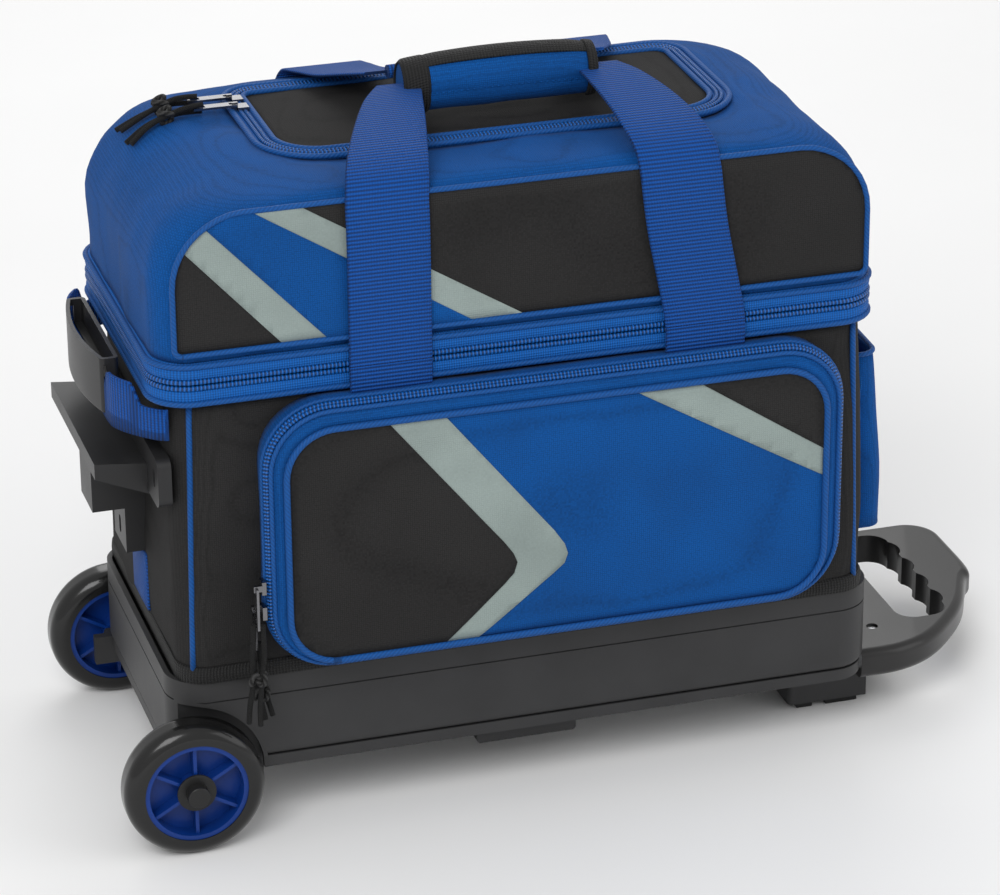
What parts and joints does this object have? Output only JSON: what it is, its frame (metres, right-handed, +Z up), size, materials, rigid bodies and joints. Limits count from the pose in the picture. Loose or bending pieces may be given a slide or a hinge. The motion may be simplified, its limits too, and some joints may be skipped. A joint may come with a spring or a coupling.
{
  "type": "rolling bowling bag",
  "caption": "Two-wheeled bowling bag: moulded base, padded ball compartment, hinged upper compartment, front pocket, carry straps and telescoping pull handle.",
  "frame": {"origin": "on the floor, under the middle of the bag's overall box", "axes": "+X along the bag towards the pull handle, -X to the wheels, -Y to the front pocket, +Z up"},
  "size_m": [0.7285, 0.3144, 0.547],
  "materials": {
    "black_moulded": "fine-textured moulded polypropylene",
    "rubber_pad": "matt rubber",
    "rail_steel": "bright plated steel",
    "black_washer": "satin",
    "screw_steel": "satin",
    "board": "matt board",
    "foam": "closed-cell foam",
    "black_fabric": "black twill polyester",
    "black_binding": "ribbed binding tape",
    "blue_fabric": "royal blue twill polyester",
    "blue_zipper": "woven zipper tape with nylon coil",
    "blue_webbing": "ribbed polyester webbing",
    "gunmetal": "polished gunmetal plating",
    "tyre": "glossy black urethane",
    "blue_hub": "moulded, semi-gloss",
    "black_cord": "braided polyester cord"
  },
  "bodies": {
    "bag": {"base_tray": "black_moulded", "base_skirt": "black_moulded", "mid_feet": "black_moulded", "end_feet": "black_moulded", "foot_pads": "rubber_pad", "axle_brackets": "black_moulded", "outer_rails": "rail_steel", "axle": "rail_steel", "wheel_washers": "black_washer", "axle_caps": "black_washer", "stiffener_board": "board", "ball_cups": "foam", "ball_divider": "black_fabric", "lower_body": "black_fabric", "base_binding": "black_binding", "front_pocket": "blue_fabric", "pocket_panel": "black_fabric", "pocket_zipper": "blue_zipper", "side_pocket": "blue_fabric", "waist_zip_lower": "blue_zipper", "strap_anchors": "blue_webbing", "stand_bracket": "black_moulded", "bracket_screws": "screw_steel", "end_webbing": "blue_webbing"},
    "grab_handle": {"grab_webbing": "blue_webbing", "grab_grip": "black_moulded"},
    "front_wheel": {"front_tyre": "tyre", "front_hub": "blue_hub"},
    "rear_wheel": {"rear_tyre": "tyre", "rear_hub": "blue_hub"},
    "handle_middle": {"middle_tubes": "rail_steel"},
    "handle_grip": {"inner_tubes": "rail_steel", "pull_grip": "black_moulded", "grip_screws": "screw_steel"},
    "upper_compartment": {"waist_zip_upper": "blue_zipper", "upper_shell": "blue_fabric", "top_zipper": "blue_zipper", "top_panel": "black_fabric"},
    "front_strap_fold": {"front_strap_folds": "blue_webbing"},
    "front_loop": {"front_strap": "blue_webbing", "handle_wrap": "blue_fabric"},
    "rear_loop": {"rear_strap": "blue_webbing"},
    "waist_slider": {"waist_slider": "gunmetal"},
    "waist_pull": {"waist_pull": "gunmetal"},
    "pocket_slider_upper": {"pocket_slider_upper": "gunmetal"},
    "pocket_pull_upper": {"pocket_pull_upper": "gunmetal", "pocket_cord_upper_front": "black_cord", "pocket_cord_upper_back": "black_cord"},
    "pocket_slider_lower": {"pocket_slider_lower": "gunmetal"},
    "pocket_pull_lower": {"pocket_pull_lower": "gunmetal", "pocket_cord_lower_front": "black_cord", "pocket_cord_lower_back": "black_cord"},
    "top_slider_front": {"top_slider_front": "gunmetal"},
    "top_pull_front": {"top_pull_front": "gunmetal", "top_cord_front_upper": "black_cord", "top_cord_front_lower": "black_cord"},
    "top_slider_rear": {"top_slider_rear": "gunmetal"},
    "top_pull_rear": {"top_pull_rear": "gunmetal", "top_cord_rear_upper": "black_cord", "top_cord_rear_lower": "black_cord"}
  },
  "joints": [
    {"name": "front_wheel_spin", "type": "hinge", "parent": "bag", "child": "front_wheel", "pos_m": [-0.308, 0, 0.0525], "axis": [0, 1, 0], "continuous": true},
    {"name": "rear_wheel_spin", "type": "hinge", "parent": "bag", "child": "rear_wheel", "pos_m": [-0.308, 0, 0.0525], "axis": [0, 1, 0], "continuous": true},
    {"name": "handle_middle_slide", "type": "slide", "parent": "bag", "child": "handle_middle", "axis": [1, 0, 0], "range_m": [0, 0.24]},
    {"name": "handle_grip_slide", "type": "slide", "parent": "handle_middle", "child": "handle_grip", "axis": [1, 0, 0], "range_m": [0, 0.23]},
    {"name": "upper_compartment_hinge", "type": "hinge", "parent": "bag", "child": "upper_compartment", "pos_m": [0, 0.1325, 0.3657], "axis": [-1, 0, 0], "range_deg": [0, 90]},
    {"name": "front_strap_fold_hinge", "type": "hinge", "parent": "bag", "child": "front_strap_fold", "pos_m": [0, -0.1325, 0.352], "axis": [1, 0, 0], "range_deg": [0, 86]},
    {"name": "front_loop_hinge", "type": "hinge", "parent": "front_strap_fold", "child": "front_loop", "pos_m": [0, -0.1325, 0.384], "axis": [1, 0, 0], "range_deg": [0, 86]},
    {"name": "rear_loop_hinge", "type": "hinge", "parent": "upper_compartment", "child": "rear_loop", "pos_m": [0, 0.1325, 0.366], "axis": [-1, 0, 0], "range_deg": [0, 85]},
    {"name": "grab_handle_lift", "type": "hinge", "parent": "bag", "child": "grab_handle", "pos_m": [-0.318, 0, 0.338], "axis": [0, 1, 0], "range_deg": [0, 10]},
    {"name": "pocket_slider_upper_slide", "type": "slide", "parent": "bag", "child": "pocket_slider_upper", "axis": [0, 0, 1], "range_m": [0, 0.095]},
    {"name": "pocket_slider_lower_slide", "type": "slide", "parent": "bag", "child": "pocket_slider_lower", "axis": [0, 0, 1], "range_m": [-0.02, 0]},
    {"name": "pocket_pull_upper_swing", "type": "hinge", "parent": "pocket_slider_upper", "child": "pocket_pull_upper", "pos_m": [-0.259, -0.1496, 0.21], "axis": [0, 1, 0], "range_deg": [0, 100]},
    {"name": "pocket_pull_lower_swing", "type": "hinge", "parent": "pocket_slider_lower", "child": "pocket_pull_lower", "pos_m": [-0.259, -0.1406, 0.19], "axis": [0, 1, 0], "range_deg": [0, 100]},
    {"name": "top_slider_front_slide", "type": "slide", "parent": "upper_compartment", "child": "top_slider_front", "axis": [0, -1, 0], "range_m": [0, 0.06]},
    {"name": "top_slider_rear_slide", "type": "slide", "parent": "upper_compartment", "child": "top_slider_rear", "axis": [0, 1, 0], "range_m": [0, 0.008]},
    {"name": "top_pull_front_swing", "type": "hinge", "parent": "top_slider_front", "child": "top_pull_front", "pos_m": [-0.2164, 0.052, 0.5035], "axis": [0, 1, 0], "range_deg": [0, 110]},
    {"name": "top_pull_rear_swing", "type": "hinge", "parent": "top_slider_rear", "child": "top_pull_rear", "pos_m": [-0.2164, 0.07, 0.5035], "axis": [0, 1, 0], "range_deg": [0, 110]},
    {"name": "waist_slider_slide", "type": "slide", "parent": "bag", "child": "waist_slider", "axis": [0, 1, 0], "range_m": [-0.08, 0.06]},
    {"name": "waist_pull_swing", "type": "hinge", "parent": "waist_slider", "child": "waist_pull", "pos_m": [0.227, 0.04, 0.365], "axis": [0, -1, 0], "range_deg": [0, 100]}
  ],
  "couplings": [
    {"joint": "front_strap_fold_hinge", "follows": "upper_compartment_hinge", "ratio": 0.95},
    {"joint": "front_loop_hinge", "follows": "upper_compartment_hinge", "ratio": 0.95}
  ]
}
